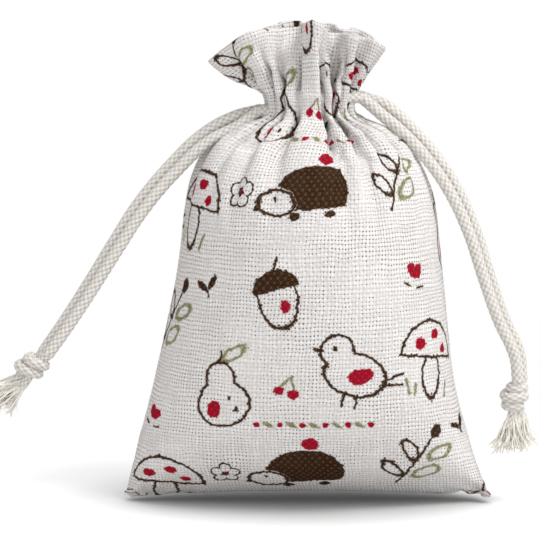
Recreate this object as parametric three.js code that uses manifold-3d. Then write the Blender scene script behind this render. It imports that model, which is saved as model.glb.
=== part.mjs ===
// Small gathered cloth pouch, stuffed and drawn shut by two drawstrings.
// Millimetres, +Z up. The origin is the centre of the foot, on the surface that the pouch stands on.
// The front faces -Y, and +X is to the right of someone who looks at the front.

import * as THREE from 'three';
import { mergeVertices } from 'three/addons/utils/BufferGeometryUtils.js';
import Module from 'manifold-3d';

const wasm = await Module();
wasm.setup();

// Foot: the flat patch that stands, and the two corners of the cloth that stick out beside it
const footHalfWidth = 46;
const footHalfDepth = 6.5;
const cornerHalfWidth = 48;
const cornerHalfDepth = 8.5;
const cornerHeight = 2.8;

// Body, from the hem above the foot and the full belly up to the shoulders
const hemHalfWidth = 43.5;
const hemHalfDepth = 18.3;
const hemHeight = 15;
const skirtHalfWidth = 38.2;
const skirtHalfDepth = 25.4;
const skirtHeight = 34;
const bellyHalfWidth = 34.8;
const bellyHalfDepth = 29.4;
const bellyHeight = 58;
const chestHalfWidth = 32.2;
const chestHalfDepth = 29;
const chestHeight = 79;
const crownHalfWidth = 27.7;
const crownHalfDepth = 23.6;
const crownHeight = 89;
const shoulderHalfWidth = 20.6;
const shoulderHalfDepth = 17.2;
const shoulderHeight = 96.5;

// Neck, where the drawstrings pull the casing together
const neckHalfWidth = 11.9;
const neckHalfDepth = 11.2;
const neckHeight = 103;

// Frill of two layers of cloth above the neck, with its left side folded out further
const frillHeight = 21.5;
const rimHalfWidth = 23;
const rimHalfDepth = 14.6;
const rimShift = -3.7;
const rimDropLeft = 9;
const rimDropRight = 6;
const tipSharpness = 4;
const frillWall = 1.8;
const frillFloorRise = 6.5;

// Pleats of the gathered cloth, and the wider waves of the rim
const pleatCount = 15;
const pleatDepth = 1.4;
const pleatReach = 34;
const frillWaves = 7;
const waveDepth = 2.4;
const sidePinch = 0.55;

// Drawstrings: one loop round the neck each, inside the casing, and two strands that end in a knot
const cordDiameter = 3.2;
const cordClearance = 0.35;
const casingWall = 0.6;
const loopGap = 0.3;
const strandGap = 0.5;
const exitLip = 1.2;
const loopRadius = neckHalfDepth - pleatDepth - casingWall - cordClearance - cordDiameter / 2;
const loopSpacing = cordDiameter + loopGap;
const strandSpacing = cordDiameter + strandGap;
const exitReach = neckHalfWidth + exitLip;

// Knots, with the frayed ends of the cord below them
const knotWidth = 7.6;
const knotHeight = 8.4;
const waistWidth = 5;
const tasselWidth = 11;
const tasselLength = 10.6;
const tasselLocks = 9;
const lockDepth = 0.1;
const bandSlope = 0.22;
const knotGap = 0.4;

// Fineness of the meshes
const roundSteps = 120;
const bodyRows = 27;
const cordSides = 8;
const cordSteps = 50;
const knotSteps = 18;

const { smoothstep, clamp, lerp } = THREE.MathUtils;

const clothFinish = new THREE.MeshStandardMaterial({ color: 0xe4dfd6, roughness: 0.92, metalness: 0 });
const cordFinish = new THREE.MeshStandardMaterial({ color: 0xe6e0d3, roughness: 0.95, metalness: 0 });

// Closed geometry with its shared corners merged and its collapsed triangles dropped
function welded(geometry) {
  const bare = geometry.clone();
  bare.deleteAttribute('normal');
  bare.deleteAttribute('uv');
  const merged = mergeVertices(bare);
  const corners = merged.index.array;
  const kept = [];
  for (let i = 0; i < corners.length; i += 3) {
    const [a, b, c] = corners.slice(i, i + 3);
    if (a !== b && b !== c && c !== a) {
      kept.push(a, b, c);
    }
  }
  merged.setIndex(kept);
  return merged;
}

function toSolid(geometry) {
  const closed = welded(geometry);
  const vertProperties = new Float32Array(closed.attributes.position.array);
  const triVerts = new Uint32Array(closed.index.array);
  return new wasm.Manifold(new wasm.Mesh({ numProp: 3, vertProperties, triVerts }));
}

function toGeometry(solid) {
  const mesh = solid.getMesh();
  const geometry = new THREE.BufferGeometry();
  geometry.setAttribute('position', new THREE.BufferAttribute(mesh.vertProperties, 3));
  geometry.setIndex(new THREE.BufferAttribute(mesh.triVerts, 1));
  geometry.computeVertexNormals();
  return geometry;
}

// How far up the frill a height is, from 0 at the neck to 1 at the rim
function frillShare(height) {
  return clamp((height - neckHeight) / frillHeight, 0, 1);
}

// Pleats are deepest at the neck, run out over the shoulders, and soften in the frill
function pleatAt(height) {
  const below = smoothstep(height, neckHeight - pleatReach, neckHeight);
  return pleatDepth * below * lerp(1, 0.4, frillShare(height));
}

// Round puffs between sharp valleys, a little uneven in width
function pleatWave(turn) {
  const uneven = turn + 0.1 * Math.sin(2 * turn + 0.6) + 0.05 * Math.sin(5 * turn);
  return 2 * Math.abs(Math.sin(pleatCount * uneven / 2)) - 1;
}

function frillWave(turn) {
  return Math.sin(frillWaves * turn + 0.9 * Math.sin(turn + 0.4));
}

// A point of the cloth at one height, at a turn that runs from the front to the right
function clothPoint(row, turn) {
  const share = frillShare(row.height);
  const puff = pleatAt(row.height) * pleatWave(turn) + waveDepth * share * share * frillWave(turn);
  const fullness = clamp((row.halfWidth - frillWall) / frillWall, 0, 1);
  const pinch = sidePinch * (1 - smoothstep(row.height, cornerHeight, skirtHeight));
  const across = Math.sin(turn);
  const depth = Math.cos(turn) * Math.pow(Math.abs(Math.cos(turn)) + 1e-9, pinch);
  const drop = Math.pow(across, tipSharpness) * (across < 0 ? rimDropLeft : rimDropRight);
  return new THREE.Vector3(
    (row.halfWidth + puff * fullness) * across + rimShift * share,
    -(row.halfDepth + puff * fullness) * depth,
    row.height - drop * share * share * fullness
  );
}

// Rows of the pouch, from the middle of the foot up its outside, over the rim and down into the frill
function pouchRows() {
  const outline = new THREE.CatmullRomCurve3([
    new THREE.Vector3(footHalfWidth, footHalfDepth, 0),
    new THREE.Vector3(cornerHalfWidth, cornerHalfDepth, cornerHeight),
    new THREE.Vector3(hemHalfWidth, hemHalfDepth, hemHeight),
    new THREE.Vector3(skirtHalfWidth, skirtHalfDepth, skirtHeight),
    new THREE.Vector3(bellyHalfWidth, bellyHalfDepth, bellyHeight),
    new THREE.Vector3(chestHalfWidth, chestHalfDepth, chestHeight),
    new THREE.Vector3(crownHalfWidth, crownHalfDepth, crownHeight),
    new THREE.Vector3(shoulderHalfWidth, shoulderHalfDepth, shoulderHeight),
    new THREE.Vector3(neckHalfWidth, neckHalfDepth, neckHeight),
    new THREE.Vector3(rimHalfWidth, rimHalfDepth, neckHeight + frillHeight),
  ], false, 'centripetal');
  const outside = outline.getSpacedPoints(bodyRows).map((point) => ({
    halfWidth: point.x, halfDepth: point.y, height: point.z,
  }));
  const floorHeight = neckHeight + frillFloorRise;
  const inside = outside.filter((row) => row.height > floorHeight + 1).reverse().map((row) => ({
    halfWidth: row.halfWidth - frillWall, halfDepth: row.halfDepth - frillWall, height: row.height,
  }));
  const lowest = inside[inside.length - 1];
  return [
    { halfWidth: 0, halfDepth: 0, height: 0 },
    { halfWidth: footHalfWidth / 2, halfDepth: footHalfDepth / 2, height: 0 },
    ...outside,
    ...inside,
    { halfWidth: lowest.halfWidth / 2, halfDepth: lowest.halfDepth / 2, height: floorHeight },
    { halfWidth: 0, halfDepth: 0, height: floorHeight },
  ];
}

function pouchBody() {
  const rows = pouchRows();
  const profile = rows.map((row) => new THREE.Vector2(row.halfWidth, row.height));
  const geometry = new THREE.LatheGeometry(profile, roundSteps);
  const position = geometry.attributes.position;
  for (let i = 0; i < position.count; i += 1) {
    const row = rows[i % rows.length];
    const step = Math.floor(i / rows.length) % roundSteps;
    const point = clothPoint(row, 2 * Math.PI * step / roundSteps);
    position.setXYZ(i, point.x, point.y, point.z);
  }
  return geometry;
}

// Middle line of each pair of strands, from the side seam's opening to the knot
const leftLine = [
  [-19.0, -2.0, 98.6], [-26.6, -3.5, 94.6], [-34.6, -4.0, 87.2], [-43.3, -4.5, 76.9],
  [-50.0, -5.0, 66.6], [-56.5, -5.0, 56.2], [-63.0, -5.0, 46.3], [-67.8, -5.0, 39.5],
];
const rightLine = [
  [18.6, -2.0, 101.6], [24.6, -3.5, 96.4], [30.6, -4.0, 89.8], [36.2, -4.5, 81.6],
  [41.2, -5.0, 71.0], [45.0, -5.0, 59.5], [48.9, -5.0, 48.4], [53.2, -5.0, 38.8],
  [54.0, -5.0, 32.0],
];

// The two strands of a pair lie side by side at the neck, the one behind further out, and turn behind
// each other towards the knot
const pairTurnAtNeck = 0.85;
const pairTurnAtKnot = 1.2;

function middleOf(line) {
  return new THREE.CatmullRomCurve3(line.map((point) => new THREE.Vector3(...point)));
}

function strandPoints(line, outward, side) {
  const middle = middleOf(line);
  const toBack = new THREE.Vector3(0, 1, 0);
  return line.map((point, i) => {
    const share = i / (line.length - 1);
    const along = middle.getTangent(share);
    const across = new THREE.Vector3().crossVectors(along, toBack).normalize();
    const turn = lerp(pairTurnAtNeck, pairTurnAtKnot, share);
    return new THREE.Vector3(...point)
      .addScaledVector(across, outward * side * Math.cos(turn) * strandSpacing / 2)
      .addScaledVector(toBack, side * Math.sin(turn) * strandSpacing / 2);
  });
}

// The loop inside the casing: round the far side of the neck, and out through the side seam's opening
function loopPoints(outward, height) {
  const points = [];
  const openAngle = Math.acos(loopRadius / exitReach);
  const steps = 10;
  for (let i = 0; i <= steps; i += 1) {
    const angle = lerp(openAngle, 2 * Math.PI - openAngle, i / steps);
    points.push(new THREE.Vector3(
      outward * loopRadius * Math.cos(angle), loopRadius * Math.sin(angle), height
    ));
  }
  const exit = new THREE.Vector3(outward * exitReach, strandSpacing / 2, height);
  const entry = new THREE.Vector3(outward * exitReach, -strandSpacing / 2, height);
  return [exit, ...points, entry];
}

function drawstringRoute(line, outward, height) {
  const behind = strandPoints(line, outward, 1);
  const ahead = strandPoints(line, outward, -1);
  const points = [...behind.reverse(), ...loopPoints(outward, height), ...ahead];
  return new THREE.CatmullRomCurve3(points, false, 'centripetal');
}

function tubeAlong(route, radius) {
  const section = new THREE.Shape();
  for (let i = 0; i < cordSides; i += 1) {
    const angle = 2 * Math.PI * (i + 0.5) / cordSides;
    const corner = new THREE.Vector2(radius * Math.cos(angle), radius * Math.sin(angle));
    if (i === 0) {
      section.moveTo(corner.x, corner.y);
    } else {
      section.lineTo(corner.x, corner.y);
    }
  }
  return new THREE.ExtrudeGeometry(section, { steps: cordSteps, bevelEnabled: false, extrudePath: route });
}

// A knot of both strands, hanging down its own -Z from the cut ends of the tube
function knotBody() {
  const rise = knotHeight / 2;
  const profile = [
    [0, 0], [0.94, 0], [1, 0.25], [0.99, 0.75], [0.84, 1], [0.99, 1.25], [0.96, 1.7],
  ].map(([share, level]) => new THREE.Vector2(share * knotWidth / 2, -level * rise));
  profile.push(new THREE.Vector2(waistWidth / 2, -knotHeight));
  profile.push(new THREE.Vector2(lerp(waistWidth, tasselWidth, 0.55) / 2, -knotHeight - 0.45 * tasselLength));
  profile.push(new THREE.Vector2(tasselWidth / 2, -knotHeight - 0.85 * tasselLength));
  profile.push(new THREE.Vector2(0.9 * tasselWidth / 2, -knotHeight - tasselLength));
  profile.push(new THREE.Vector2(0, -knotHeight - tasselLength));
  profile.reverse();
  const geometry = new THREE.LatheGeometry(profile, knotSteps).rotateX(Math.PI / 2);
  const position = geometry.attributes.position;
  for (let i = 0; i < position.count; i += 1) {
    const point = new THREE.Vector3().fromBufferAttribute(position, i);
    const turn = Math.atan2(point.y, point.x);
    const below = clamp((-point.z - knotHeight) / tasselLength, 0, 1);
    const inBand = smoothstep(-point.z, 0, rise / 2) * (1 - smoothstep(-point.z, 1.5 * rise, knotHeight));
    const lock = 1 + lockDepth * below * Math.sin(tasselLocks * turn);
    position.setXYZ(i, point.x * lock, point.y * lock, point.z + bandSlope * inBand * point.x);
  }
  return geometry;
}

function named(name, geometry, finish) {
  const mesh = new THREE.Mesh(geometry, finish);
  mesh.name = name;
  return mesh;
}

// A knot hangs in line with the end of its strands
function tiedKnot(name, line) {
  const knot = named(name, knotBody(), cordFinish);
  const middle = middleOf(line);
  const along = middle.getTangent(1);
  knot.quaternion.setFromUnitVectors(new THREE.Vector3(0, 0, -1), along);
  knot.position.copy(middle.getPoint(1)).addScaledVector(along, knotGap);
  return knot;
}

const leftRoute = drawstringRoute(leftLine, -1, neckHeight - loopSpacing / 2);
const rightRoute = drawstringRoute(rightLine, 1, neckHeight + loopSpacing / 2);

function pouch() {
  let solid = toSolid(pouchBody());
  for (const route of [leftRoute, rightRoute]) {
    solid = solid.subtract(toSolid(tubeAlong(route, cordDiameter / 2 + cordClearance)));
  }
  return named('pouch', toGeometry(solid), clothFinish);
}

const model = new THREE.Group();
model.add(pouch());
model.add(named('left_drawstring', tubeAlong(leftRoute, cordDiameter / 2), cordFinish));
model.add(named('right_drawstring', tubeAlong(rightRoute, cordDiameter / 2), cordFinish));
model.add(tiedKnot('left_knot', leftLine));
model.add(tiedKnot('right_knot', rightLine));

export default model;
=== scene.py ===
# Looks of the drawstring pouch: simulated cloth, braided cords, tied knots and frayed ends.
# Sizes in the dictionaries are in millimetres, and the meshes are made in metres.
import math
import random
import bpy
import bmesh
from mathutils import Matrix, Vector


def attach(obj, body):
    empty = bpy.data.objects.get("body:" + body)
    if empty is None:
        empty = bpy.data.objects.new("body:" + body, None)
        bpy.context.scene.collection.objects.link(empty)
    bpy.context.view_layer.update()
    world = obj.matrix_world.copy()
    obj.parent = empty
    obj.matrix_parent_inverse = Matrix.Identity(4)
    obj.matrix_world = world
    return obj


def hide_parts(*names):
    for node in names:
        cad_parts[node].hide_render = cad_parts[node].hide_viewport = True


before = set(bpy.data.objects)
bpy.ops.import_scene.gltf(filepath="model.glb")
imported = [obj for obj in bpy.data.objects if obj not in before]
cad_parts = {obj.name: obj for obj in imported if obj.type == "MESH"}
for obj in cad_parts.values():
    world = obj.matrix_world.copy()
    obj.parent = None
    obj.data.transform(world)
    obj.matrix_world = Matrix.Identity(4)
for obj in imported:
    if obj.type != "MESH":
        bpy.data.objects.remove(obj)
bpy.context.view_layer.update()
mm = 0.001
scene = bpy.context.scene

# Camera: square on to the front, a little above it, at the photo's framing
view = {
    "pixel": 0.258,  # size of one photo pixel at the pouch
    "imageWidth": 540,
    "footPixel": (310, 503),  # where the origin shows
    "distance": 660,
    "elevation": 7,
}


def addObject(name, data):
    made = bpy.data.objects.new(name, data)
    scene.collection.objects.link(made)
    return made


def addCamera(settings):
    middle = settings["imageWidth"] / 2
    footX, footY = settings["footPixel"]
    aim = Vector(((middle - footX) * settings["pixel"], 0, (footY - middle) * settings["pixel"])) * mm
    tilt = math.radians(settings["elevation"])
    back = Vector((0, -math.cos(tilt), math.sin(tilt)))
    lens = bpy.data.cameras.new("camera")
    lens.sensor_width = 36
    lens.lens = lens.sensor_width * settings["distance"] / (settings["imageWidth"] * settings["pixel"])
    lens.clip_start = 0.01
    holder = addObject("camera", lens)
    holder.location = aim + back * settings["distance"] * mm
    holder.rotation_euler = back.to_track_quat("Z", "Y").to_euler()
    scene.camera = holder


addCamera(view)
print("stage: camera set")


# Mesh helpers
def linkMesh(name, bm):
    mesh = bpy.data.meshes.new(name)
    bm.to_mesh(mesh)
    bm.free()
    mesh.polygons.foreach_set("use_smooth", [True] * len(mesh.polygons))
    return addObject(name, mesh)


def applyModifiers(piece):
    depsgraph = bpy.context.evaluated_depsgraph_get()
    made = bpy.data.meshes.new_from_object(piece.evaluated_get(depsgraph))
    piece.modifiers.clear()
    if piece.type == "MESH":
        piece.data = made
        return piece
    name = piece.name
    meshed = addObject(name, made)
    bpy.data.objects.remove(piece)
    meshed.name = name
    return meshed


def clamp(value):
    return min(1.0, max(0.0, value))


def curveThrough(name, points):
    curve = bpy.data.curves.new(name, "CURVE")
    curve.dimensions = "3D"
    curve.resolution_u = 24
    spline = curve.splines.new("BEZIER")
    spline.bezier_points.add(len(points) - 1)
    for knotPoint, point in zip(spline.bezier_points, points):
        knotPoint.co = point
        knotPoint.handle_left_type = knotPoint.handle_right_type = "AUTO"
    holder = addObject(name, curve)
    bpy.context.view_layer.update()
    return holder


def curvePath(holder):
    outline = holder.to_mesh()
    path = [vert.co.copy() for vert in outline.vertices]
    holder.to_mesh_clear()
    return path


def lineLength(points):
    return sum((b - a).length for a, b in zip(points, points[1:]))


# Drawstrings: the middle line of each pair as in the part's source, from the side seam to the knot
cord = {
    "diameter": 3.2, "strandGap": 0.5, "loopGap": 0.3, "loopRadius": 7.25, "exitReach": 13.1,
    "neckHeight": 103, "pairTurnAtNeck": 0.85, "pairTurnAtKnot": 1.2,
    "carriers": 6,  # strands of the braid that run each way round
    "lead": 10.5,  # length in which each of them goes round once
    "under": 0.25,  # height of a strand where it dives under, as a share of its crown
    "relief": 0.34, "sides": 40, "ringStep": 0.3,
    "outOfStep": 3.1,  # the braids of a pair are shifted this far either way
}
strandHalf = (cord["diameter"] + cord["strandGap"]) / 2
leftLine = [
    (-19.0, -2.0, 98.6), (-26.6, -3.5, 94.6), (-34.6, -4.0, 87.2), (-43.3, -4.5, 76.9),
    (-50.0, -5.0, 66.6), (-56.5, -5.0, 56.2), (-63.0, -5.0, 46.3), (-67.8, -5.0, 39.5),
]
rightLine = [
    (18.6, -2.0, 101.6), (24.6, -3.5, 96.4), (30.6, -4.0, 89.8), (36.2, -4.5, 81.6),
    (41.2, -5.0, 71.0), (45.0, -5.0, 59.5), (48.9, -5.0, 48.4), (53.2, -5.0, 38.8),
    (54.0, -5.0, 32.0),
]


def lineTangent(line, i):
    ahead = Vector(line[min(i + 1, len(line) - 1)])
    behind = Vector(line[max(i - 1, 0)])
    return (ahead - behind).normalized()


def strandPoints(line, outward, side):
    toBack = Vector((0, 1, 0))
    points = []
    for i, middle in enumerate(line):
        share = i / (len(line) - 1)
        across = lineTangent(line, i).cross(toBack).normalized()
        turn = cord["pairTurnAtNeck"] * (1 - share) + cord["pairTurnAtKnot"] * share
        offset = across * outward * side * math.cos(turn) * strandHalf
        offset += toBack * side * math.sin(turn) * strandHalf
        points.append((Vector(middle) + offset) * mm)
    return points


def loopLevel(outward):
    return cord["neckHeight"] + outward * (cord["diameter"] + cord["loopGap"]) / 2


def exitPoint(outward, side):
    return Vector((outward * cord["exitReach"], side * strandHalf, loopLevel(outward))) * mm


def loopPoints(outward):
    # round the neck, from one exit of the casing back to the same side
    radius = cord["loopRadius"]
    openAngle = math.acos(radius / cord["exitReach"])
    points = [exitPoint(outward, 1)]
    steps = 10
    for i in range(steps + 1):
        angle = openAngle + (2 * math.pi - 2 * openAngle) * i / steps
        spot = (outward * radius * math.cos(angle), radius * math.sin(angle), loopLevel(outward))
        points.append(Vector(spot) * mm)
    points.append(exitPoint(outward, -1))
    return points


def braidHeight(along, turn):
    # over-and-under ridges of a round braid, from 0 in the valleys to 1 on the crowns
    run = along / cord["lead"]
    first = cord["carriers"] * (turn + run)
    second = cord["carriers"] * (turn - run)
    firstOver = 0.5 + 0.5 * math.cos(math.pi * (second - 0.5 + math.floor(first)))
    secondOver = 0.5 + 0.5 * math.cos(math.pi * (first - 0.5 + math.floor(second) + 1))
    firstRidge = math.sqrt(abs(math.sin(math.pi * first)))
    secondRidge = math.sqrt(abs(math.sin(math.pi * second)))
    dive = 1 - cord["under"]
    return max(firstRidge * (1 - dive * (1 - firstOver)), secondRidge * (1 - dive * (1 - secondOver)))


def braidedTube(name, points, radiusAt=None, startAt=0.0):
    # a straight braid along X, bent along its curve
    guide = curveThrough(name + "Line", points)
    path = curvePath(guide)
    length = lineLength(path) / mm
    rings = max(8, round(length / cord["ringStep"]))
    bm = bmesh.new()
    bmesh.ops.create_grid(bm, x_segments=rings, y_segments=cord["sides"], size=0.5, calc_uvs=True)
    relief = bm.verts.layers.float.new("crown")
    for vert in bm.verts:
        along = (vert.co.x + 0.5) * length
        turn = vert.co.y + 0.5
        height = braidHeight(along + startAt, turn)
        fit = radiusAt(along / length) if radiusAt else 1.0
        radius = (cord["diameter"] / 2 - cord["relief"] * (1 - height)) * fit
        angle = 2 * math.pi * turn
        vert[relief] = height
        vert.co = Vector((along, radius * math.cos(angle), radius * math.sin(angle))) * mm
    bmesh.ops.remove_doubles(bm, verts=bm.verts, dist=0.000005)
    openEdges = [edge for edge in bm.edges if edge.is_boundary]
    bmesh.ops.holes_fill(bm, edges=openEdges)
    bmesh.ops.recalc_face_normals(bm, faces=bm.faces)
    tube = linkMesh(name, bm)
    bend = tube.modifiers.new("bend", "CURVE")
    bend.object = guide
    applyModifiers(tube)
    bpy.data.objects.remove(guide)
    return tube, path, length * mm


drawstrings = {}
for sideName, outward, line in (("left", -1, leftLine), ("right", 1, rightLine)):
    loop = braidedTube(sideName + "Loop", loopPoints(outward))[0]
    strands = []
    for strandName, side in (("Front", -1), ("Back", 1)):
        points = [exitPoint(outward, side)] + strandPoints(line, outward, side)
        name = sideName + "Strand" + strandName
        strands.append(braidedTube(name, points, startAt=side * cord["outOfStep"]))
    drawstrings[sideName] = {"loop": loop, "strands": strands, "line": line, "outward": outward}
print("stage: drawstrings braided")

# Knots and frayed ends, in a frame with the strands' ends at its origin and the tails along -Z
knot = {
    "height": 8.4, "wrapFit": 0.9, "tailFit": 0.82,
    "firstWrap": 1.3,  # the first wrap lies this far below the strands' ends
    "wrapDrop": 5.5,  # from the first wrap to the last
    "wrapSteps": 22,
    "tuckPace": 6,  # the two ends of the wraps are tucked in over a sixth of their run
    "tuckDepth": 0.65, "wrapTaper": 0.12,
    "strandLap": 0.3,  # the strands inside the knot begin this far up the hanging ones
    "innerReach": 0.5,  # and close in to this share of their distance
    "innerDrop": 0.4, "tailApart": (1.0, 0.5), "tailSpread": (0.2, 0.12), "tailLength": 4.2,
    "left": {
        "shift": (-1.7, 0, -0.5), "wrapRadius": 2.85, "turns": 2.1,
        "phase": 2.4, "tilt": 0.42, "lean": (-0.32, 0.05),
    },
    "right": {
        "shift": (-1.8, 0, 0.0), "wrapRadius": 2.55, "turns": 2.4,
        "phase": 3.6, "tilt": 0.1, "lean": (-0.2, 0.0),
    },
}
tassel = {
    "length": 10.6,
    "reach": (6.9, 4.8),  # half width and half depth at its ends
    "waist": (2.1, 1.6),
    "rootReach": 0.55,  # how far out to the waist's edge the outermost yarn leaves
    "yarnTurn": 2.4,  # from each yarn to the next, in radians
    "turnUneven": 0.3, "lengthShare": (0.7, 1.0),
    "bow": (0.03, 0.09),  # how far a yarn bows out, as a share of its length
    "pull": (0.45, 0.16),  # a yarn hangs down from this part of its run, by this share of its length
    "taper": 0.5, "uneven": (0.85, 1.15),
    # how many, radius, how far out of their ring they spread and how much more they bow
    "kinds": ((56, 0.33, 1.0, 1.0), (110, 0.075, 1.12, 2.2)), "steps": 10,
}


def knotPlace(line, shift):
    along = lineTangent(line, len(line) - 1)
    turn = Vector((0, 0, -1)).rotation_difference(along).to_matrix().to_4x4()
    return Matrix.Translation((Vector(line[-1]) + Vector(shift)) * mm) @ turn


def wrapPoints(tie):
    points = []
    for i in range(knot["wrapSteps"] + 1):
        share = i / knot["wrapSteps"]
        angle = 2 * math.pi * tie["turns"] * share + tie["phase"]
        tucked = 1 - min(1.0, knot["tuckPace"] * share, knot["tuckPace"] * (1 - share))
        radius = tie["wrapRadius"] * (1 - knot["tuckDepth"] * tucked) * (1 - knot["wrapTaper"] * share)
        x = radius * math.cos(angle)
        y = radius * math.sin(angle)
        z = -knot["firstWrap"] - knot["wrapDrop"] * share + tie["tilt"] * x
        points.append(Vector((x, y, z)) * mm)
    return points


def makeKnot(sideName, info, rng):
    tie = knot[sideName]
    place = knotPlace(info["line"], tie["shift"])
    toLocal = place.inverted()
    parts = [braidedTube(sideName + "Wrap", wrapPoints(tie), radiusAt=lambda share: knot["wrapFit"])[0]]
    tails = []
    for (strand, path, length), side in zip(info["strands"], (-1, 1)):
        start = toLocal @ path[-1]
        before = toLocal @ path[-8]
        spread = side * info["outward"]
        inner = knot["innerReach"]
        inside = Vector((start.x * inner, start.y * inner, -knot["innerDrop"] * knot["height"] * mm))
        apart = Vector((spread, side))
        waist = Vector((*(apart * Vector(knot["tailApart"])), -knot["height"])) * mm
        lean = Vector((*(Vector(tie["lean"]) + apart * Vector(knot["tailSpread"])), -1)).normalized()
        end = waist + lean * knot["tailLength"] * mm
        points = [start + (before - start).normalized() * knot["strandLap"] * mm, inside, waist, end]
        fit = lambda share: max(knot["tailFit"], 0.99 - 0.9 * share)
        name = sideName + "Tail" + ("Front" if side < 0 else "Back")
        parts.append(braidedTube(name, points, radiusAt=fit)[0])
        tails.append((waist, end))
    for part in parts:
        part.data.transform(place)
    tuft = makeTassel(sideName + "Tassel", tails, tie["lean"], rng)
    tuft.data.transform(place)
    return parts, tuft


def makeTassel(name, tails, lean, rng):
    curve = bpy.data.curves.new(name, "CURVE")
    curve.dimensions = "3D"
    curve.bevel_depth = 1.0
    curve.bevel_resolution = 1
    curve.use_fill_caps = True
    down = Vector((*lean, -1)).normalized()
    uneven = tassel["turnUneven"]
    for count, thickness, widest, bowing in tassel["kinds"]:
        for i in range(count):
            waist, end = tails[i % len(tails)]
            angle = tassel["yarnTurn"] * i + rng.uniform(-uneven, uneven)
            ring = math.sqrt((i + 0.5) / count)
            outward = Vector((math.cos(angle), math.sin(angle), 0))
            # the braid opens from its outside first, so outer yarns leave it higher up
            root = waist.lerp(end, (1 - ring) * rng.uniform(0.5, 1.0))
            root = root + outward * Vector((*tassel["waist"], 0)) * ring * tassel["rootReach"] * mm
            spread = ring * rng.uniform(0.75, widest)
            tip = outward * Vector((*tassel["reach"], 0)) * spread * mm
            length = tassel["length"] * rng.uniform(*tassel["lengthShare"]) * mm
            tip += (tails[0][0] + tails[1][0]) / 2 + down * length
            bend = (tip - root).length
            bowPhase = rng.uniform(0, 6.28)
            bow = rng.uniform(*tassel["bow"]) * bend * bowing
            pull = root.lerp(tip, tassel["pull"][0]) + down * tassel["pull"][1] * bend
            spline = curve.splines.new("POLY")
            spline.points.add(tassel["steps"] - 1)
            for step, point in enumerate(spline.points):
                share = step / (tassel["steps"] - 1)
                sway = Vector((math.cos(bowPhase + 5 * share), math.sin(bowPhase + 4 * share), 0))
                arc = root.lerp(pull, share).lerp(pull.lerp(tip, share), share)
                point.co = (*(arc + sway * bow * share), 1)
                point.radius = thickness * mm * (1 - tassel["taper"] * share) * rng.uniform(*tassel["uneven"])
    return applyModifiers(addObject(name, curve))


rng = random.Random(4)
for sideName, info in drawstrings.items():
    info["knotParts"], info["tassel"] = makeKnot(sideName, info, rng)
print("stage: knots tied and ends frayed")

# Cloth of the pouch: a flat tube sewn at the sides and the foot, gathered at the casing and stuffed
pouch = {
    "panelWidth": 100,
    "casingMiddle": 121,  # up the cloth from the bottom seam
    "casingHalf": 3.4, "cutHeight": 143,
    "columns": 80,  # to a panel
    "hemRows": 22,  # rows of cloth turned in at the rim
    "pleats": 19,
    # unevenness of the pleats' places and sizes: how much, waves round the ring, and their start
    "pleatDrift": ((0.022, 2, 0.7), (0.014, 5, 2.0)),
    "pleatSizes": ((0.25, 3, 1.1), (0.25, 7, 0.3)), "pleatRound": 0.5, "pleatMiddle": 0.85,
    "casingPleat": 2.9,  # deepest pleat where the cords run inside
    "pleatGrowth": 1.2,  # for each millimetre up or down from there
    "pleatLimit": 6.0,
    "grooveDepth": 5.4,  # how far the valleys are pressed in above and below the cords
    "grooveFull": 4,  # up or down from the casing to the full depth
    "grooveFade": 12,  # length over which it fades again
    "grooveEnd": 20, "grooveSharp": 0.85,
    "valleySpan": 4,  # columns either way that a valley is measured against
    "inwardSpan": 4,  # rows and columns either way that give the way inward
    "cordClear": 9.2,  # the cloth stays this far from the axis beside the cords
    "cordBand": 4,  # above and below the neck's middle
    "clothGap": 1.0,
    "wellShare": 0.75,  # the turned-in layer draws together this far, and closes a little lower
    "wellDepths": (1.5, 2), "flatHalf": 0.4, "frames": 36,
    "footPush": 0.3,  # share of the filling's push at the foot
    "footRise": 35,  # height up the cloth at which it reaches its full push
    "fillGap": 2,  # the push ends this far below the casing
    "gravity": 0.3,
    "fabric": {
        "quality": 8, "mass": 0.08, "air_damping": 4, "use_pressure": True, "uniform_pressure_force": 20,
        "tension_stiffness": 40, "compression_stiffness": 40, "shear_stiffness": 8, "bending_stiffness": 0.05,
        "tension_damping": 10, "compression_damping": 10, "shear_damping": 8, "bending_damping": 2,
    },
    "touch": {
        "use_collision": True, "distance_min": 0.003, "collision_quality": 2,
        "use_self_collision": True, "self_distance_min": 0.004, "self_friction": 5,
    },
    "ground": {"thickness_outer": 0.004, "cloth_friction": 20},
    "footTop": 7,  # the foot is held up to here
    "footHold": 0.35,
    "footArch": 2.6,  # the middle of the foot stands this far off the floor
    "archReach": 42,
    "cornerForward": (2, 6),  # how far the left and right corners turn to the front
    "cornerStart": 28, "cornerReach": 20,
    "footBlend": 14,  # arch and corners have faded out this far up the cloth
    "wingStart": 12,  # the left wing of the frill folds out sooner than the rest, from here outwards
    "wingReach": 15, "wingFlare": 0.4, "seamHold": 0.25,
    "seamTop": 88,  # the side seams hold their line up to here
    "frillHold": 0.4,
    "simScale": 0.01,  # simulation units for a millimetre
}
columns = pouch["columns"]
around = 2 * columns
rows = round(pouch["cutHeight"] / (pouch["panelWidth"] / columns))
rowStep = pouch["cutHeight"] / rows
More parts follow.
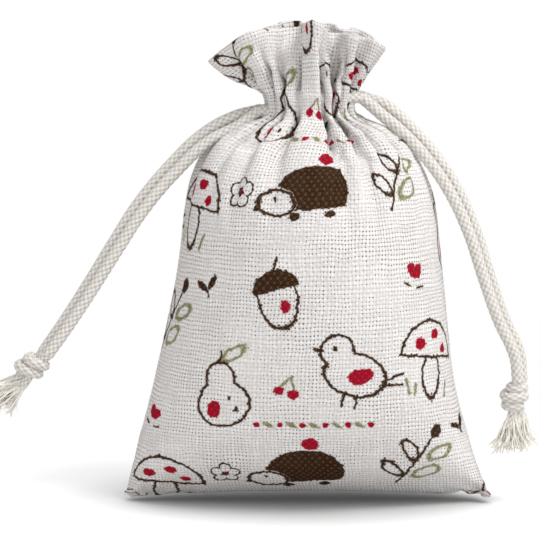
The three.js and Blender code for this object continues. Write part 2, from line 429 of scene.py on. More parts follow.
# Sections the stuffed cloth starts from: up the cloth, height, reach to the left and right, half depth
sections = [
    (0, 0.9, 47.9, 48.2, 0.5), (3, 1.0, 49.1, 49.4, 3.2), (7, 1.9, 49.0, 48.7, 7), (14, 6.8, 48.0, 46.2, 12),
    (24, 15.5, 46, 43, 18), (42, 32, 41.7, 38.5, 24.6), (68, 57, 36, 35.2, 28.8), (90, 79, 32.4, 32, 28.8),
    (104, 91, 27, 26.6, 23.6), (112, 96.5, 20.5, 21, 17.6), (117.6, 100.4, 11.8, 11.8, 11),
    (124.4, 105.6, 11.8, 11.8, 11),
]
# Rim of the frill, from the left tip along the front to the right tip and back
rimPoints = [
    (-26.8, -1, 113.8), (-21.5, -8, 118.2), (-16.5, -13, 121.6), (-10.5, -8.5, 123), (-4.2, -0.5, 123.2),
    (-1.8, -8.5, 124.2), (1.2, -15, 124.6), (4.2, -8, 122.4), (6.0, -0.8, 121.6), (8.4, -8, 121.8),
    (11.0, -13.8, 121.4), (13.4, -6.5, 120.4), (16.2, -9.2, 119.4), (19.4, 0.5, 117.4),
    (15.5, 9.5, 121), (11.5, 12.5, 122.4), (9, 4.5, 122.6), (6.4, 13.6, 123.4), (2.6, 14.2, 123.8),
    (0.4, 4.6, 123.4), (-3, 14, 124), (-7.4, 14.4, 123.6), (-9.6, 5, 123), (-13, 12.6, 122),
    (-17.4, 11.6, 120), (-20, 4.4, 118), (-23.4, 5.8, 116),
]
rightTip = Vector(rimPoints[13])


def sectionAt(up):
    # height, reaches and half depth, read smoothly from the table
    last = len(sections) - 1
    low = max(i for i in range(last) if sections[i][0] <= up or i == 0)
    share = min(1.0, (up - sections[low][0]) / (sections[low + 1][0] - sections[low][0]))
    found = []
    for column in range(1, 5):
        before, start, end, after = (sections[min(max(low + k, 0), last)][column] for k in (-1, 0, 1, 2))
        leave, arrive = (end - before) / 2, (after - start) / 2
        curve = (2 * start - 2 * end + leave + arrive) * share ** 3
        curve += (3 * end - 3 * start - 2 * leave - arrive) * share ** 2
        found.append(curve + leave * share + start)
    return found


def evenly(points):
    # a point for each column of a panel, spread evenly along a line
    lengths = [0.0]
    for a, b in zip(points, points[1:]):
        lengths.append(lengths[-1] + (b - a).length)
    spread = []
    span = 0
    for i in range(columns):
        at = lengths[-1] * i / columns
        while lengths[span + 1] < at:
            span += 1
        share = (at - lengths[span]) / max(lengths[span + 1] - lengths[span], 1e-9)
        spread.append(points[span].lerp(points[span + 1], share))
    return spread


def waves(terms, angle, start=0):
    return sum((size * math.sin(count * angle + shift) for size, count, shift in terms), start)


def ovalRing(section, depth):
    # an oval of cloth with round pleats, finely stepped
    height, left, right, half = section
    points = []
    steps = 1600
    for i in range(steps + 1):
        turn = i / steps
        angle = 2 * math.pi * turn
        phase = pouch["pleats"] * (turn + waves(pouch["pleatDrift"], angle))
        bulge = abs(math.sin(math.pi * phase)) ** pouch["pleatRound"] - pouch["pleatMiddle"]
        puff = depth * waves(pouch["pleatSizes"], angle, 1) * bulge
        reach = left if math.cos(angle) > 0 else right
        points.append(Vector((-(reach + puff) * math.cos(angle), -(half + puff) * math.sin(angle), height)))
    return points


def gatheredRing(section, deepest):
    # pleats just deep enough to take up the spare cloth
    low, high = 0.0, deepest
    if lineLength(ovalRing(section, high)) < 2 * pouch["panelWidth"]:
        low = high
    halvings = 14
    for _ in range(halvings):
        middle = (low + high) / 2
        if lineLength(ovalRing(section, middle)) < 2 * pouch["panelWidth"]:
            low = middle
        else:
            high = middle
    points = ovalRing(section, low)
    half = len(points) // 2
    return evenly(points[: half + 1]) + evenly(points[half:])


def rimRing():
    guide = curveThrough("rimLine", [Vector(point) for point in rimPoints + rimPoints[:1]])
    path = curvePath(guide)
    bpy.data.objects.remove(guide)
    cut = min(range(len(path)), key=lambda i: (path[i] - rightTip).length)
    return evenly(path[: cut + 1]) + evenly(path[cut:])


def startRows():
    casingTop = pouch["casingMiddle"] + pouch["casingHalf"]
    footReach = sections[0][2]
    seam = [Vector((footReach * (2 * i / columns - 1), 0, sections[0][1])) for i in range(columns + 1)]
    grid = [seam[:-1] + seam[:0:-1]]
    for row in range(1, rows + 1):
        up = row * rowStep
        if up > casingTop:
            break
        distance = abs(up - pouch["casingMiddle"])
        deepest = pouch["casingPleat"] + max(0.0, distance - pouch["casingHalf"]) * pouch["pleatGrowth"]
        grid.append(gatheredRing(sectionAt(up), min(deepest, pouch["pleatLimit"])))
    for row, ring in enumerate(grid[: round(pouch["footBlend"] / rowStep)]):
        low = 1 - row * rowStep / pouch["footBlend"]
        for point in ring:
            corner = clamp((abs(point.x) - pouch["cornerStart"]) / pouch["cornerReach"])
            point.y -= pouch["cornerForward"][int(point.x > 0)] * corner ** 2 * low
            point.z += pouch["footArch"] * max(0.0, 1 - (point.x / pouch["archReach"]) ** 2) * low
    neckRing, neckRow, rim = grid[-1], len(grid) - 1, rimRing()
    for row in range(neckRow + 1, rows + 1):
        share = (row - neckRow) / (rows - neckRow)
        ring = []
        for neck, top in zip(neckRing, rim):
            wing = clamp((-top.x - pouch["wingStart"]) / pouch["wingReach"])
            flare = share ** (1 - pouch["wingFlare"] * wing)
            ring.append(Vector((*neck.xy.lerp(top.xy, flare), neck.z + (top.z - neck.z) * share)))
        grid.append(ring)
    return grid


def flatPoint(turn, up, atSeam):
    # where a spot of the cloth lies on the flat, unfilled pouch
    width = pouch["panelWidth"]
    along = turn * 2 * width
    x = along if along <= width else 2 * width - along
    y = 0.0 if atSeam else pouch["flatHalf"] * (-1 if along < width else 1)
    return Vector((x - width / 2, y, up))


def simulatePouch():
    start = startRows()
    scale = pouch["simScale"]
    bm = bmesh.new()
    bmesh.ops.create_grid(bm, x_segments=around, y_segments=rows, size=0.5)
    place = bm.verts.layers.float_vector.new("place")
    for vert in bm.verts:
        column = round((vert.co.x + 0.5) * around)
        row = round((vert.co.y + 0.5) * rows)
        vert[place] = (column, row, 0)
        vert.co = start[row][column % around] * scale
    bmesh.ops.remove_doubles(bm, verts=bm.verts, dist=0.00001)
    spots = [(round(vert[place][0]), round(vert[place][1])) for vert in bm.verts]
    bm.faces.ensure_lookup_table()
    probe = bm.faces[len(bm.faces) // 2]
    probe.normal_update()
    centre = probe.calc_center_median()
    if probe.normal.x * centre.x + probe.normal.y * centre.y < 0:
        bmesh.ops.reverse_faces(bm, faces=bm.faces)
    sheet = linkMesh("pouchSheet", bm)
    sheet.shape_key_add(name="Basis")
    flat = sheet.shape_key_add(name="flat")
    held = sheet.vertex_groups.new(name="held")
    filled = sheet.vertex_groups.new(name="filled")
    for i, (column, row) in enumerate(spots):
        up = row * rowStep
        sideSeam = column in (0, columns, around)
        flat.data[i].co = flatPoint(column / around, up, row == 0 or sideSeam) * scale
        if abs(up - pouch["casingMiddle"]) <= pouch["casingHalf"]:
            held.add([i], 1.0, "REPLACE")
        elif up > pouch["casingMiddle"]:
            held.add([i], pouch["frillHold"], "REPLACE")
        elif up <= pouch["footTop"]:
            held.add([i], pouch["footHold"], "REPLACE")
        elif sideSeam and up < pouch["seamTop"]:
            held.add([i], pouch["seamHold"], "REPLACE")
        if up < pouch["casingMiddle"] - pouch["casingHalf"] - pouch["fillGap"]:
            rise = clamp(up / pouch["footRise"])
            filled.add([i], pouch["footPush"] + (1 - pouch["footPush"]) * rise, "REPLACE")
    table = bmesh.new()
    bmesh.ops.create_grid(table, x_segments=1, y_segments=1, size=3)
    ground = linkMesh("pouchGround", table)
    ground.modifiers.new("collision", "COLLISION")
    cloth = sheet.modifiers.new("cloth", "CLOTH")
    fabric = cloth.settings
    tuned = ((fabric, "fabric"), (cloth.collision_settings, "touch"), (ground.collision, "ground"))
    for owner, kind in tuned:
        for name, value in pouch[kind].items():
            setattr(owner, name, value)
    fabric.vertex_group_pressure = "filled"
    fabric.vertex_group_mass = "held"
    fabric.rest_shape_key = flat
    fabric.effector_weights.gravity = pouch["gravity"]
    for clock in (scene, cloth.point_cache):
        clock.frame_start = 1
        clock.frame_end = pouch["frames"]
    for frameNumber in range(1, pouch["frames"] + 1):
        scene.frame_set(frameNumber)
    depsgraph = bpy.context.evaluated_depsgraph_get()
    settled = sheet.evaluated_get(depsgraph).to_mesh()
    shape = {}
    for vert, (column, row) in zip(settled.vertices, spots):
        shape[(column % around, row)] = vert.co.copy() / scale * mm
        if row == 0:
            shape[((around - column) % around, row)] = vert.co.copy() / scale * mm
    bpy.data.objects.remove(ground)
    bpy.data.objects.remove(sheet)
    scene.frame_set(1)
    return shape


def inwardAt(shape, column, row, reach=1):
    left = shape[((column - reach) % around, row)]
    right = shape[((column + reach) % around, row)]
    upper = shape[(column, min(row + reach, rows))]
    lower = shape[(column, max(row - reach, 0))]
    return -(right - left).cross(upper - lower).normalized()


def pressGathers(shape):
    # the valleys of the gathers run deeper above and below the cords
    casingRow = round(pouch["casingMiddle"] / rowStep)
    reach = [shape[(column, casingRow)].xy.length for column in range(around)]
    valleys = []
    span = pouch["valleySpan"]
    for column in range(around):
        near = [reach[(column + k) % around] for k in range(-span, span + 1)]
        valleys.append(max(0.0, sum(near) / len(near) - reach[column]))
    deepest = max(valleys)
    pressed = {}
    for (column, row), spot in shape.items():
        away = row * rowStep - pouch["casingMiddle"]
        share = clamp(abs(away) / pouch["grooveFull"])
        share *= clamp((pouch["grooveEnd"] - abs(away)) / pouch["grooveFade"])
        push = pouch["grooveDepth"] * mm * share * (valleys[column] / deepest) ** pouch["grooveSharp"]
        moved = spot + inwardAt(shape, column, row, pouch["inwardSpan"]) * push
        if abs(moved.z / mm - cord["neckHeight"]) < pouch["cordBand"]:
            moved.xy = moved.xy * max(1.0, pouch["cordClear"] * mm / moved.xy.length)
        pressed[(column, row)] = moved
    shape.update(pressed)


def makePouch():
    shape = simulatePouch()
    pressGathers(shape)
    hem = pouch["hemRows"]
    total = rows + hem + 2
    bm = bmesh.new()
    bmesh.ops.create_grid(bm, x_segments=around, y_segments=total, size=0.5)
    uvLayer = bm.loops.layers.uv.new("cut")
    spots = {}
    for vert in bm.verts:
        spots[vert] = (round((vert.co.x + 0.5) * around), round((vert.co.y + 0.5) * total))
    for face in bm.faces:
        for corner in face.loops:
            column, row = spots[corner.vert]
            corner[uvLayer].uv = (column / around, row * rowStep / (2 * pouch["panelWidth"]))
    well = sum((shape[(c, rows - hem)] for c in range(around)), Vector()) / around
    upper, lower = pouch["wellDepths"]
    for vert, (column, row) in spots.items():
        column %= around
        if row <= rows:
            vert.co = shape[(column, row)]
        elif row <= rows + hem:
            # the turned-in layer runs back down inside
            below = max(rows - (row - rows) + 1, 1)
            vert.co = shape[(column, below)] + inwardAt(shape, column, below) * pouch["clothGap"] * mm
        elif row == rows + hem + 1:
            vert.co = shape[(column, rows - hem)].lerp(well, pouch["wellShare"]) - Vector((0, 0, upper * mm))
        else:
            vert.co = well - Vector((0, 0, lower * mm))
    bmesh.ops.remove_doubles(bm, verts=bm.verts, dist=0.000002)
    bmesh.ops.recalc_face_normals(bm, faces=bm.faces)
    body = linkMesh("pouchCloth", bm)
    finish = body.modifiers.new("smooth", "SUBSURF")
    finish.levels = finish.render_levels = 1
    applyModifiers(body)
    return body


pouchCloth = makePouch()
print("stage: pouch settled")


# Material helpers
def feed(tree, node, inputs):
    for name, value in inputs.items():
        if isinstance(value, bpy.types.NodeSocket):
            tree.links.new(value, node.inputs[name])
        else:
            node.inputs[name].default_value = value


def addNode(tree, kind, inputs=(), **settings):
    node = tree.nodes.new("ShaderNode" + kind)
    for name, value in settings.items():
        setattr(node, name, value)
    feed(tree, node, dict(inputs))
    return node


def maths(tree, operation, *values, clamp=False):
    node = addNode(tree, "Math", dict(enumerate(values)), operation=operation, use_clamp=clamp)
    return node.outputs[0]


def plus(tree, first, second):
    return maths(tree, "ADD", first, second)


def minus(tree, first, second):
    return maths(tree, "SUBTRACT", first, second)


def times(tree, first, second):
    return maths(tree, "MULTIPLY", first, second)


def vectorMaths(tree, operation, *values):
    node = addNode(tree, "VectorMath", dict(enumerate(values)), operation=operation)
    return node.outputs["Value" if operation in ("LENGTH", "DOT_PRODUCT", "DISTANCE") else "Vector"]


def scaled(tree, vector, factor):
    node = addNode(tree, "VectorMath", {0: vector, "Scale": factor}, operation="SCALE")
    return node.outputs["Vector"]


def ramp(tree, value, low, high, outLow=0.0, outHigh=1.0):
    node = addNode(
        tree, "MapRange",
        {"Value": value, "From Min": low, "From Max": high, "To Min": outLow, "To Max": outHigh},
        interpolation_type="SMOOTHSTEP",
    )
    return node.outputs["Result"]


def blendColours(tree, factor, first, second):
    node = addNode(tree, "Mix", data_type="RGBA", blend_type="MIX")
    for name, value in (("Factor_Float", factor), ("A_Color", first), ("B_Color", second)):
        socket = next(s for s in node.inputs if s.identifier == name)
        if isinstance(value, bpy.types.NodeSocket):
            tree.links.new(value, socket)
        else:
            socket.default_value = (*value, 1.0)
    return next(s for s in node.outputs if s.identifier == "Result_Color")


def newGroup(name, vectors, numbers, results):
    # vectors and numbers go in, and masks, heights or distances come out
    group = bpy.data.node_groups.new(name, "ShaderNodeTree")
    for socketName in vectors:
        group.interface.new_socket(socketName, in_out="INPUT", socket_type="NodeSocketVector")
    for socketName, start in numbers.items():
        socket = group.interface.new_socket(socketName, in_out="INPUT", socket_type="NodeSocketFloat")
        socket.default_value = start
    for socketName in results:
        group.interface.new_socket(socketName, in_out="OUTPUT", socket_type="NodeSocketFloat")
    return group, group.nodes.new("NodeGroupInput").outputs, group.nodes.new("NodeGroupOutput").inputs


def newMaterial(name):
    material = bpy.data.materials.new(name)
    material.use_nodes = True
    return material, material.node_tree, material.node_tree.nodes["Principled BSDF"]


def noise(tree, position, scale, detail, output="Fac"):
    node = addNode(tree, "TexNoise", {"Vector": position, "Scale": scale, "Detail": detail})
    return node.outputs[output]


def axes(tree, position):
    return addNode(tree, "SeparateXYZ", {"Vector": position}).outputs


def bumpNormal(tree, height, distance, strength):
    inputs = {"Height": height, "Distance": distance, "Strength": strength}
    return addNode(tree, "Bump", inputs).outputs["Normal"]


def smallest(tree, fields):
    found = fields[0]
    for other in fields[1:]:
        found = maths(tree, "MINIMUM", found, other)
    return found


# Plain weave, from a position on the cut cloth in millimetres
weave = {
    "pitchAcross": 0.9, "pitchUp": 1.05, "wander": 1.5, "wanderScale": 0.16,
    "slubScales": (1.1, 0.1),  # across a thread and along it
    "slubHeight": 0.5,
    "crossing": 0.45,  # how much higher a thread stands where it passes over
    "patch": (0.07, 2.4),  # scale and weight of the loosely woven patches
    "speck": (1.1, 1.4), "slubWeights": (2.6, 2.0),
}


def weaveGroup():
    pitches = {"Across": weave["pitchAcross"], "Up": weave["pitchUp"]}
    group, given, put = newGroup("plainWeave", ["Position"], pitches, ["Height", "Gap", "Slub"])
    here = given["Position"]
    # threads wander a little off their straight lines
    wander = noise(group, here, weave["wanderScale"], 3.0, "Color")
    nudge = scaled(group, vectorMaths(group, "SUBTRACT", wander, (0.5, 0.5, 0.5)), weave["wander"])
    parts = axes(group, vectorMaths(group, "ADD", here, nudge))
    across = times(group, parts["X"], maths(group, "DIVIDE", math.pi, given["Across"]))
    up = times(group, parts["Y"], maths(group, "DIVIDE", math.pi, given["Up"]))
    sineX, sineY = maths(group, "SINE", across), maths(group, "SINE", up)
    warp, weft = maths(group, "ABSOLUTE", sineX), maths(group, "ABSOLUTE", sineY)
    # slubs: each thread is thick or thin along its own length
    thick = []
    fine, coarse = weave["slubScales"]
    for grain in ((fine, coarse, 0), (coarse, fine, 0)):
        thick.append(noise(group, vectorMaths(group, "MULTIPLY", here, grain), 1.0, 2.0))
    slub = times(group, plus(group, *thick), 0.5)
    group.links.new(slub, put["Slub"])
    over = times(group, times(group, sineX, sineY), weave["crossing"])
    body = times(group, maths(group, "POWER", warp, 0.5), maths(group, "POWER", weft, 0.7))
    height = plus(group, body, over)
    height = plus(group, height, times(group, slub, weave["slubHeight"]))
    group.links.new(height, put["Height"])
    # pinholes where four threads meet, wider in the loosely woven patches; the cloth darkens them with
    # painted shade
    hole = times(group, minus(group, 1.0, warp), minus(group, 1.0, weft))
    (patchScale, patchWeight), (speckScale, speckWeight) = weave["patch"], weave["speck"]
    grains = [noise(group, here, patchScale, 2.0), noise(group, here, speckScale, 0.0), *thick]
    loose = 0.0
    for grain, weight in zip(grains, (patchWeight, speckWeight, *weave["slubWeights"])):
        spare = minus(group, grain, 0.5)
        loose = plus(group, loose, times(group, spare, weight))
    opened = plus(group, hole, times(group, loose, hole))
    group.links.new(ramp(group, opened, 0.3, 0.75), put["Gap"])
    return group


plainWeave = weaveGroup()

# Print: small woodland motifs in a half-drop repeat, outlined in brown with crimson and olive accents
artwork = {
    "line": 0.4,  # half the thickness of an outline
    "wobble": 0.7,  # how far the lines wander off their shapes
    "wobbleScale": 0.45,
    "inkSoft": 0.12,
    "inkLoss": 0.28,  # how far the ink draws back in the gaps of the weave
    "repeat": (71, 76),
    # each ink between the threads, darker with painted shade, and paler on their crowns
    "inks": (
        ("Olive", (0.20, 0.195, 0.10), (0.34, 0.33, 0.20)),
        ("Crimson", (0.27, 0.004, 0.014), (0.42, 0.01, 0.035)),
        ("Brown", (0.028, 0.012, 0.005), (0.085, 0.045, 0.022)),
    ),
}


def turned(tree, position, angle):
    inputs = {"Vector": position, "Angle": angle}
    return addNode(tree, "VectorRotate", inputs, rotation_type="Z_AXIS").outputs["Vector"]


def ellipseGroup():
    group, given, put = newGroup("ellipseField", ["Position", "Centre", "Radii"], {"Turn": 0.0}, ["Distance"])
    moved = vectorMaths(group, "SUBTRACT", given["Position"], given["Centre"])
    share = vectorMaths(group, "DIVIDE", turned(group, moved, given["Turn"]), given["Radii"])
    radii = axes(group, given["Radii"])
    small = maths(group, "MINIMUM", radii["X"], radii["Y"])
    away = minus(group, vectorMaths(group, "LENGTH", share), 1.0)
    group.links.new(times(group, away, small), put["Distance"])
    return group


def strokeGroup():
    group, given, put = newGroup("strokeField", ["Position", "From", "Step"], {}, ["Distance"])
    moved = vectorMaths(group, "SUBTRACT", given["Position"], given["From"])
    square = vectorMaths(group, "DOT_PRODUCT", given["Step"], given["Step"])
    along = vectorMaths(group, "DOT_PRODUCT", moved, given["Step"])
    nearest = scaled(group, given["Step"], maths(group, "DIVIDE", along, square, clamp=True))
    group.links.new(vectorMaths(group, "DISTANCE", moved, nearest), put["Distance"])
    return group


ellipseField = ellipseGroup()
strokeField = strokeGroup()


class Sketch:
    # fields of one motif, as distances in millimetres, gathered for each ink
    # a shape is such a field, or the place, half sizes and turn of an ellipse
    def __init__(self, tree, position):
        self.tree = tree
        self.position = position
        self.inks = {"brown": [], "crimson": [], "olive": []}

    def field(self, kind, values):
        inputs = {"Position": self.position, **values}
        return addNode(self.tree, "Group", inputs, node_tree=kind).outputs["Distance"]

    def ellipse(self, x, y, width, height, turn=0.0):
        return self.field(ellipseField, {"Centre": (x, y, 0), "Radii": (width, height, 1), "Turn": turn})

    def stroke(self, x, y, dx, dy):
        return self.field(strokeField, {"From": (x, y, 0), "Step": (dx, dy, 0)})

    def above(self, level):
        return minus(self.tree, axes(self.tree, self.position)["Y"], level)

    def within(self, field, other):
        return maths(self.tree, "MAXIMUM", field, other)

    def without(self, field, other):
        return self.within(field, times(self.tree, other, -1.0))

    def join(self, shapes):
        fields = [self.ellipse(*shape) if isinstance(shape, tuple) else shape for shape in shapes]
        return smallest(self.tree, fields)

    def fill(self, ink, *shapes):
        self.inks[ink].append(self.join(shapes))

    def thicken(self, ink, field):
        self.fill(ink, minus(self.tree, field, artwork["line"]))

    def outline(self, ink, *shapes):
        self.thicken(ink, maths(self.tree, "ABSOLUTE", self.join(shapes)))

    def lines(self, ink, *strokes):
        self.thicken(ink, smallest(self.tree, [self.stroke(*stroke) for stroke in strokes]))


def drawMushroom(art):
    cap = art.without(art.ellipse(0, 0.5, 8.6, 7.6), art.above(0.5))
    art.outline("brown", cap)
    art.outline("brown", art.without(art.ellipse(0.2, -3.4, 2.7, 5.4), cap))
    art.fill("crimson", (-3.6, 3.2, 1.7, 1.4), (1.2, 5.2, 1.5, 1.2), (4.6, 2.4, 1.2, 1.1))
    art.lines("olive", (-5.5, -8.2, -1.2, 3.4), (-4.4, -8.4, 0.4, 2.6), (4.6, -8.4, 1.0, 3.0))


def drawHedgehog(art):
    spines = art.without(art.ellipse(1.2, 0, 8.4, 6.6), art.above(-3.4))
    art.fill("brown", art.without(spines, art.ellipse(-7.2, -1.6, 4.8, 3.5, 0.25)))
    art.outline("brown", (-6.6, -1.4, 4.0, 2.7, 0.25))
    art.fill("brown", (-10.6, -1.9, 0.9, 0.8), (-6.9, -0.4, 0.5, 0.6))
    art.fill("brown", (-2.8, -4.6, 1.3, 1.0), (4.6, -4.6, 1.3, 1.0))
    art.fill("crimson", (3.4, 8.4, 1.9, 1.8))


def drawPear(art):
    art.outline("brown", (0, -2.6, 5.8, 5.2), (0.2, 3.2, 3.3, 4.0))
    art.lines("brown", (0.3, 7.0, 0.9, 2.6))
    art.outline("olive", (3.9, 8.6, 2.8, 1.2, -0.4))
    art.fill("crimson", (-2.4, -3.6, 1.6, 1.9))
    art.fill("brown", (1.5, -1.6, 0.5, 0.7), (2.6, -4.4, 0.5, 0.7))


def drawSprig(art):
    art.lines("brown", (-2.4, -9.0, 1.6, 7.6), (-0.8, -1.4, 2.4, 8.6))
    art.outline("brown", (-4.9, -3.6, 3.2, 1.5, 0.6), (-2.6, 2.8, 3.2, 1.5, 0.8))
    art.outline("olive", (2.8, -2.6, 3.3, 1.6, -0.8), (4.6, 3.8, 3.0, 1.4, -0.7))
    art.fill("brown", (2.2, 9.4, 1.4, 2.2, 0.25))


def drawAcorn(art):
    art.fill("brown", art.without(art.ellipse(0, 2.2, 5.6, 4.4), art.above(2.0)))
    art.outline("brown", art.within(art.ellipse(0, 0.6, 4.5, 7.8), art.above(2.4)))
    art.lines("brown", (0.2, 6.2, 1.4, 2.6))
    art.fill("crimson", (1.3, -2.2, 1.1, 1.7))


def drawBird(art):
    art.outline("brown", (0, -0.8, 6.8, 4.9, 0.2), (-4.8, 4.2, 3.5, 3.3))
    art.lines("brown", (6.2, -1.4, 4.4, 2.2), (6.0, -2.4, 4.8, 0.4))
    art.lines("brown", (-1.4, -5.4, -0.4, -2.6), (1.2, -5.5, -0.1, -2.6))
    art.fill("brown", (-5.4, 4.7, 0.6, 0.6), (-8.9, 3.9, 1.3, 0.6))
    art.fill("crimson", (1.2, -0.8, 2.9, 1.9, -0.35))


def drawBlossom(art):
    petals = [(3.0 * math.cos(a), 3.0 * math.sin(a), 2.1, 2.1) for a in (0.3, 1.56, 2.81, 4.07, 5.33)]
    art.outline("brown", *petals)
    art.fill("crimson", (0, 0, 1.3, 1.3))


def drawBerries(art):
    art.fill("crimson", (-1.7, -1.4, 1.3, 1.3), (1.6, -1.7, 1.3, 1.3))
    art.lines("olive", (-1.7, -0.4, 1.9, 3.2), (1.6, -0.7, -1.4, 3.5))


def drawHeart(art):
    art.fill("crimson", (-1.1, 0.6, 2.1, 1.5, 0.8), (1.1, 0.6, 2.1, 1.5, -0.8))
    art.lines("brown", (-3.6, -2.8, 2.2, -0.5), (1.4, -3.3, 2.2, 0.5))


def drawLeaves(art):
    art.fill("brown", (-1.6, 0.4, 2.3, 0.9, 0.7), (1.6, 0.4, 2.3, 0.9, -0.7))
    art.lines("brown", (0, -2.4, 0, 1.6))


def drawRow(art):
    # a thin row of dots and leaves
    art.fill("crimson", *[(x, 0, 0.9, 0.9) for x in (-14, -8.4, -2.8, 2.8, 8.4, 14)])
    art.fill("olive", *[(x, 0, 1.7, 0.7, 0.5) for x in (-11.2, -5.6, 0, 5.6, 11.2)])


# Motifs: how they are drawn, place in the repeat, turn and size
motifs = [
    (drawMushroom, (13, 12), 0.12, 1.2), (drawHedgehog, (48, 17), -0.1, 1.22),
    (drawPear, (29, 42), -0.2, 1.15), (drawBird, (62, 48), 0.15, 1.18),
    (drawSprig, (7, 59), 0.3, 1.12), (drawAcorn, (42, 67), -0.25, 1.08),
    (drawBlossom, (29.5, 17), 0.0, 0.75), (drawBerries, (45.5, 44), 0.2, 1.1),
    (drawLeaves, (22, 69), -0.3, 1.1), (drawRow, (52, 33.8), 0.0, 1.0), (drawHeart, (8, 34), 0.2, 0.95),
]


def wrapped(tree, position, place):
    # half-drop repeat round the motif's own place
    width, height = artwork["repeat"]
    moved = vectorMaths(tree, "SUBTRACT", position, (*place, 0))
    parts = axes(tree, moved)
    column = maths(tree, "FLOOR", plus(tree, maths(tree, "DIVIDE", parts["X"], width), 0.5))
    x = minus(tree, parts["X"], times(tree, column, width))
    odd = times(tree, maths(tree, "FLOORED_MODULO", column, 2.0), height / 2)
    lifted = plus(tree, plus(tree, parts["Y"], odd), height / 2)
    y = minus(tree, maths(tree, "FLOORED_MODULO", lifted, height), height / 2)
    return addNode(tree, "CombineXYZ", {"X": x, "Y": y}).outputs[0]


def artworkGroup():
    inks = ["Brown", "Crimson", "Olive"]
    group, given, put = newGroup("woodlandPrint", ["Position"], {"Ink Edge": 0.0}, inks)
    shake = noise(group, given["Position"], artwork["wobbleScale"], 2.0, "Color")
    shaken = scaled(group, vectorMaths(group, "SUBTRACT", shake, (0.5, 0.5, 0.5)), artwork["wobble"] * 2)
    position = vectorMaths(group, "ADD", given["Position"], shaken)
    gathered = {ink: [] for ink in inks}
    for draw, place, turn, size in motifs:
        local = turned(group, wrapped(group, position, place), turn)
        art = Sketch(group, scaled(group, local, 1 / size))
        draw(art)
        for ink, fields in art.inks.items():
            gathered[ink.capitalize()] += fields
    soft = artwork["inkSoft"]
    for ink, fields in gathered.items():
        edge = plus(group, smallest(group, fields), given["Ink Edge"])
        group.links.new(ramp(group, edge, -soft, soft, 1.0, 0.0), put[ink])
    return group


woodlandPrint = artworkGroup()


# Cloth: colours of thin and thick threads, with painted shade at their edges and in the pinholes
clothLook = {
    "thin": (0.70, 0.668, 0.652), "thick": (0.80, 0.775, 0.762), "edge": (0.40, 0.375, 0.36),
    "edgeShadeShare": 0.4, "pinholeShade": (0.05, 0.045, 0.04), "pinholeShadeShare": 0.8, "roughness": 0.9,
    "specular": 0.03, "bump": 0.00014,
}


def clothMaterial():
    material, tree, shader = newMaterial("printedCloth")
    look = clothLook
    cut = addNode(tree, "UVMap", uv_map="cut").outputs["UV"]
    position = scaled(tree, cut, 2.0 * pouch["panelWidth"])
    threads = addNode(tree, "Group", {"Position": position}, node_tree=plainWeave).outputs
    height = threads["Height"]
    base = blendColours(tree, ramp(tree, threads["Slub"], 0.38, 0.62), look["thin"], look["thick"])
    # painted shade: the threads darken towards their edges, where they dip into the weave
    base = blendColours(tree, ramp(tree, height, 0.3, 0.95, look["edgeShadeShare"], 0.0), base, look["edge"])
    # ink sits on the crowns of the threads and thins out in the gaps
    loss = times(tree, minus(tree, 1.05, height), artwork["inkLoss"])
    inputs = {"Position": position, "Ink Edge": loss}
    printed = addNode(tree, "Group", inputs, node_tree=woodlandPrint).outputs
    for ink, deep, crownTint in artwork["inks"]:
        # painted shade and highlight of the weave: each ink is darker between the threads and paler on their
        # crowns
        tint = blendColours(tree, ramp(tree, height, 0.45, 1.4), deep, crownTint)
        base = blendColours(tree, printed[ink], base, tint)
    # painted shade: the pinholes are darkened as if the shaded inside showed through
    holeShade = times(tree, threads["Gap"], look["pinholeShadeShare"])
    feed(tree, shader, {
        "Base Color": blendColours(tree, holeShade, base, look["pinholeShade"]),
        "Roughness": look["roughness"],
        "Specular IOR Level": look["specular"],
        "Normal": bumpNormal(tree, height, look["bump"], 0.8),
    })
    return material


# Cotton, mottled with paler fibres; shade is painted into the braid's crevices
cordLook = {
    "creviceShade": (0.40, 0.37, 0.33), "base": (0.72, 0.695, 0.65), "fibre": (0.80, 0.775, 0.73),
    "fibreShare": 0.3, "grain": 900, "roughness": 0.92, "sheen": 0.2, "bump": 0.00008,
}
yarnLook = {
    "base": (0.72, 0.68, 0.60), "fibre": (0.86, 0.83, 0.77), "fibreShare": 1.0, "grain": 700,
    "roughness": 0.9, "sheen": 0.25, "bump": 0.00006,
}


def cottonMaterial(name, look):
    material, tree, shader = newMaterial(name)
    base = look["base"]
    if "creviceShade" in look:
        crown = addNode(tree, "Attribute", attribute_name="crown").outputs["Fac"]
        # painted shade in the braid's crevices, following the crown height
        base = blendColours(tree, ramp(tree, crown, 0.35, 0.95), look["creviceShade"], base)
    here = addNode(tree, "TexCoord").outputs["Object"]
    mottle = noise(tree, here, look["grain"], 3.0)
    fibres = ramp(tree, mottle, 0.3, 0.7, 0.0, look["fibreShare"])
    feed(tree, shader, {
        "Base Color": blendColours(tree, fibres, base, look["fibre"]),
        "Roughness": look["roughness"],
        "Sheen Weight": look["sheen"],
        "Normal": bumpNormal(tree, mottle, look["bump"], 0.6),
    })
    return material


printedCloth = clothMaterial()
cottonCord = cottonMaterial("cottonCord", cordLook)
frayedYarn = cottonMaterial("frayedYarn", yarnLook)
print("stage: materials made")

# Hand the pieces to the frame
pouchCloth.data.materials.append(printedCloth)
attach(pouchCloth, "root")
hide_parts("pouch")

for sideName, info in drawstrings.items():
    cordPieces = [info["loop"], *(strand[0] for strand in info["strands"])]
    knotPieces = [*info["knotParts"], info["tassel"]]
    for piece in cordPieces + knotPieces:
        piece.data.materials.append(frayedYarn if piece is info["tassel"] else cottonCord)
        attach(piece, "root")
        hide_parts(sideName + ("_drawstring" if piece in cordPieces else "_knot"))
print("stage: pieces handed to the frame")

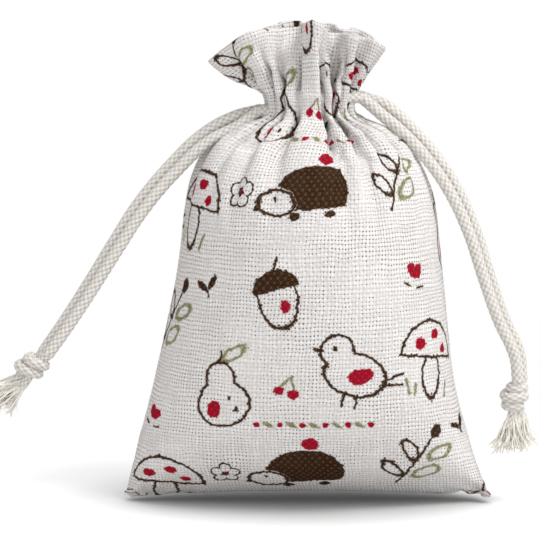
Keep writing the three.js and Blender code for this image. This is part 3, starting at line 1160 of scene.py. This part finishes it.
# Floor, surroundings and lights, in metres and watts
studio = {
    "floorSize": 3.0,
    "floorContactShadow": (0.2, 0.2, 0.2),  # painted contact shadow under the pouch
    "floorPale": (0.86, 0.86, 0.86), "ambient": 0.72,
    "floorGlow": 0.3,  # light of its own that the floor shows to the camera
    # the contact shadow is painted within this reach and deepened by this power
    "contactShadowReach": 0.03, "contactShadowDepth": 1.05, "shadowShape": (1.0, 1.6, 0.0),
    "shadowNear": 0.085,  # the floor shows its shadow up to here and fades to white
    "shadowFar": 0.16,
    # place, size and power
    "lamps": {"keyLight": ((0.42, -0.27, 0.82), 0.35, 5.4), "fillLight": ((0.1, -0.9, 0.04), 0.7, 2.1)},
    "aimHeight": 0.06,
}


def addStage():
    bm = bmesh.new()
    bmesh.ops.create_grid(bm, x_segments=4, y_segments=4, size=studio["floorSize"] / 2)
    floor = linkMesh("floor", bm)
    material, tree, shader = newMaterial("paleFloor")
    # the camera sees the lit floor near the pouch, and plain white further off
    here = addNode(tree, "TexCoord").outputs["Object"]
    squashed = vectorMaths(tree, "MULTIPLY", here, studio["shadowShape"])
    away = ramp(tree, vectorMaths(tree, "LENGTH", squashed), studio["shadowNear"], studio["shadowFar"])
    # painted contact shadow: the floor's colour and its glow darken where the pouch is close
    reach = {"Distance": studio["contactShadowReach"]}
    clear = addNode(tree, "AmbientOcclusion", reach, samples=12).outputs["AO"]
    clear = maths(tree, "POWER", clear, studio["contactShadowDepth"])
    feed(tree, shader, {
        "Base Color": blendColours(tree, clear, studio["floorContactShadow"], studio["floorPale"]),
        "Roughness": 0.9,
        "Specular IOR Level": 0.0,
    })
    strength = times(tree, clear, studio["floorGlow"])
    glow = addNode(tree, "Emission", {"Strength": strength}).outputs[0]
    white = addNode(tree, "Emission", {"Strength": 1.0}).outputs[0]
    lit = addNode(tree, "AddShader", {0: shader.outputs[0], 1: glow}).outputs[0]
    shown = addNode(tree, "MixShader", {0: away, 1: lit, 2: white}).outputs[0]
    rays = addNode(tree, "LightPath").outputs["Is Camera Ray"]
    seen = addNode(tree, "MixShader", {0: rays, 1: shader.outputs[0], 2: shown}).outputs[0]
    tree.links.new(seen, tree.nodes["Material Output"].inputs["Surface"])
    floor.data.materials.append(material)


def addAreaLight(name, place, size, power):
    lamp = bpy.data.lights.new(name, "AREA")
    lamp.energy = power
    lamp.size = size
    holder = addObject(name, lamp)
    holder.location = place
    aim = Vector(place) - Vector((0, 0, studio["aimHeight"]))
    holder.rotation_euler = aim.to_track_quat("Z", "Y").to_euler()


def addWorld():
    world = bpy.data.worlds.new("studio")
    world.use_nodes = True
    tree = world.node_tree
    rays = addNode(tree, "LightPath").outputs["Is Camera Ray"]
    strength = plus(tree, times(tree, rays, 1.0 - studio["ambient"]), studio["ambient"])
    feed(tree, tree.nodes["Background"], {"Color": (1, 1, 1, 1), "Strength": strength})
    scene.world = world


addStage()
addWorld()
for name, (place, size, power) in studio["lamps"].items():
    addAreaLight(name, place, size, power)
scene.view_settings.view_transform = "Standard"
print("stage: floor and lights set")

bpy.context.view_layer.update()
